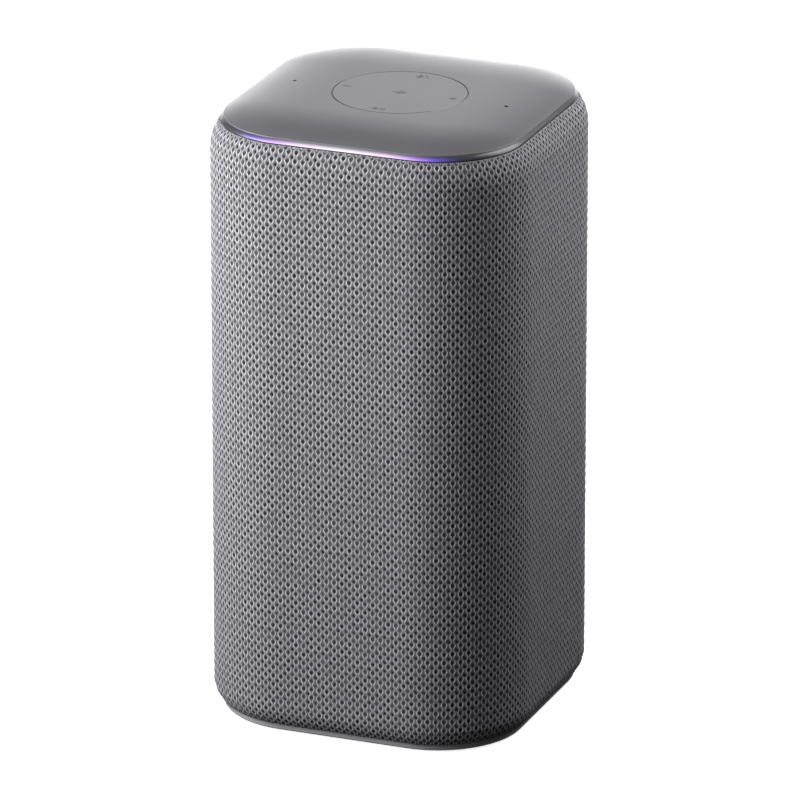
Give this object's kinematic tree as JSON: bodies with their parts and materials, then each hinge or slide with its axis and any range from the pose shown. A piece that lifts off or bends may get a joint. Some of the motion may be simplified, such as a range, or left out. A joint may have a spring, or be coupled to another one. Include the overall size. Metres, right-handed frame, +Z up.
{
  "type": "smart speaker",
  "caption": "Table-top smart speaker: a rounded-square column in grey knit, with a domed touch cap, a light band at its edge, and sockets at the back.",
  "frame": {"origin": "on the table, under the centre of the foot", "axes": "+Z up, -Y towards the front (the play mark), +X to the right as seen from the front"},
  "size_m": [0.125, 0.125, 0.2366],
  "materials": {
    "cap_plastic": "satin moulded, very fine spark texture",
    "disc_plastic": "satin moulded",
    "icon_ink": "pad printed",
    "light_lens": "milky diffuser, lit violet at the front",
    "gasket_foam": "matt",
    "knit_fabric": "knitted polyester",
    "grille_plastic": "moulded",
    "base_plastic": "satin moulded",
    "foot_rubber": "matt",
    "port_plastic": "satin moulded",
    "socket_plastic": "moulded",
    "circuit_board": "solder mask",
    "components": "mixed parts",
    "cable_film": "flat flexible cable",
    "led_resin": "clear over white",
    "cabinet_plastic": "glass filled, matt",
    "seal_rubber": "closed cell foam",
    "basket_steel": "black powder coat",
    "plate_steel": "zinc plated",
    "ferrite": "ground ferrite",
    "cone_paper": "pressed mineral-filled cone",
    "surround_rubber": "smooth",
    "spider_cloth": "resin-treated cotton",
    "voice_coil_wire": "enamelled copper",
    "dome_silk": "coated silk",
    "aluminium": "extruded, clear anodised",
    "screw_steel": "zinc plated"
  },
  "bodies": {
    "housing": {"aux_socket": "socket_plastic", "base_cover": "base_plastic", "base_screws": "screw_steel", "board_components": "components", "cabinet": "cabinet_plastic", "cabinet_lid": "cabinet_plastic", "cabinet_seal": "seal_rubber", "chassis_screws": "screw_steel", "control_icons": "icon_ink", "fabric_sleeve": "knit_fabric", "foot_pad": "foot_rubber", "front_tweeter_faceplate": "cabinet_plastic", "front_tweeter_magnet": "ferrite", "grille_frame": "grille_plastic", "heat_sink": "aluminium", "left_radiator_frame": "cabinet_plastic", "left_radiator_surround": "surround_rubber", "left_tweeter_faceplate": "cabinet_plastic", "left_tweeter_magnet": "ferrite", "lid_screws": "screw_steel", "light_board": "circuit_board", "light_leds": "led_resin", "light_ring": "light_lens", "main_board": "circuit_board", "mic_gaskets": "seal_rubber", "microphones": "components", "port_board": "circuit_board", "port_housing": "port_plastic", "power_socket": "socket_plastic", "radiator_screws": "screw_steel", "ribbon_cable": "cable_film", "right_radiator_frame": "cabinet_plastic", "right_radiator_surround": "surround_rubber", "right_tweeter_faceplate": "cabinet_plastic", "right_tweeter_magnet": "ferrite", "shadow_gasket": "gasket_foam", "sound_diffuser": "cabinet_plastic", "top_chassis": "grille_plastic", "top_cover": "cap_plastic", "touch_board": "circuit_board", "touch_disc": "disc_plastic", "tweeter_carrier": "cabinet_plastic", "tweeter_screws": "screw_steel", "woofer_basket": "basket_steel", "woofer_magnet": "ferrite", "woofer_screws": "screw_steel", "woofer_spider": "spider_cloth", "woofer_surround": "surround_rubber", "woofer_top_plate": "plate_steel", "woofer_yoke": "plate_steel"},
    "woofer_diaphragm": {"woofer_cone": "cone_paper", "woofer_dust_cap": "cone_paper", "woofer_coil": "voice_coil_wire"},
    "left_radiator": {"left_radiator_plate": "aluminium"},
    "right_radiator": {"right_radiator_plate": "aluminium"},
    "front_tweeter": {"front_tweeter_dome": "dome_silk"},
    "left_tweeter": {"left_tweeter_dome": "dome_silk"},
    "right_tweeter": {"right_tweeter_dome": "dome_silk"}
  },
  "joints": [
    {"name": "woofer_travel", "type": "slide", "parent": "housing", "child": "woofer_diaphragm", "axis": [0, 0, 1], "range_m": [-0.005, 0.005], "stiffness_N_per_m": 1200, "deforming": ["woofer_surround", "woofer_spider"]},
    {"name": "left_radiator_travel", "type": "slide", "parent": "housing", "child": "left_radiator", "axis": [-1, 0, 0], "range_m": [-0.004, 0.004], "stiffness_N_per_m": 900, "deforming": ["left_radiator_surround"]},
    {"name": "right_radiator_travel", "type": "slide", "parent": "housing", "child": "right_radiator", "axis": [1, 0, 0], "range_m": [-0.004, 0.004], "stiffness_N_per_m": 900, "deforming": ["right_radiator_surround"]},
    {"name": "front_tweeter_travel", "type": "slide", "parent": "housing", "child": "front_tweeter", "axis": [0, -1, 0], "range_m": [-0.0003, 0.0003], "stiffness_N_per_m": 400},
    {"name": "left_tweeter_travel", "type": "slide", "parent": "housing", "child": "left_tweeter", "axis": [-1, 0, 0], "range_m": [-0.0003, 0.0003], "stiffness_N_per_m": 400},
    {"name": "right_tweeter_travel", "type": "slide", "parent": "housing", "child": "right_tweeter", "axis": [1, 0, 0], "range_m": [-0.0003, 0.0003], "stiffness_N_per_m": 400}
  ]
}
